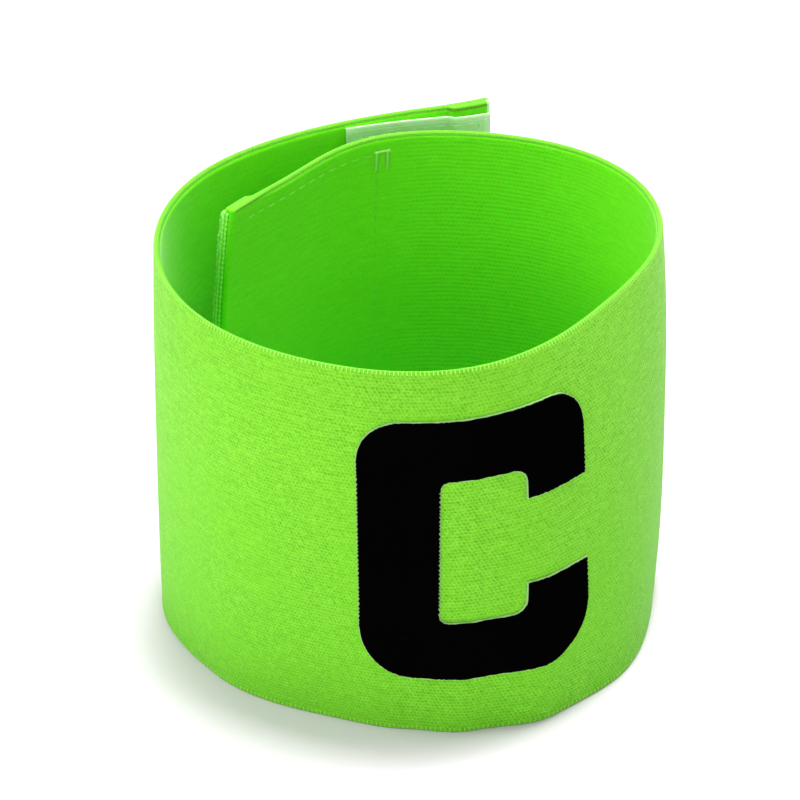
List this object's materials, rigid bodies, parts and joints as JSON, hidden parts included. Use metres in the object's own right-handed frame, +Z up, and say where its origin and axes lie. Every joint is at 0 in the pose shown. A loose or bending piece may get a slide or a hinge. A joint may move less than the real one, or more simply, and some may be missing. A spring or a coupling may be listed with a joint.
{
  "type": "captain armband",
  "caption": "Wide green elastic captain's armband: an open, overlapping loop standing on its lower edge, hemmed ends with hook and loop patches, and a black block letter on the outside",
  "frame": {"origin": "on the floor, under the middle of the armband's bounding box", "axes": "+Z up along the armband's axis, -Y towards the viewer and the letter, +X to the viewer's right"},
  "size_m": [0.0848, 0.0922, 0.07],
  "materials": {
    "elastic": "ribbed neon green elastic webbing",
    "loop_pile": "pale grey-green brushed loop pile",
    "hook_tape": "translucent pale hook tape",
    "letter_print": "deep matte black print"
  },
  "bodies": {
    "root": {"elastic_strip": "elastic", "loop_patch": "loop_pile", "hook_patch": "hook_tape", "captain_letter": "letter_print"}
  },
  "joints": []
}
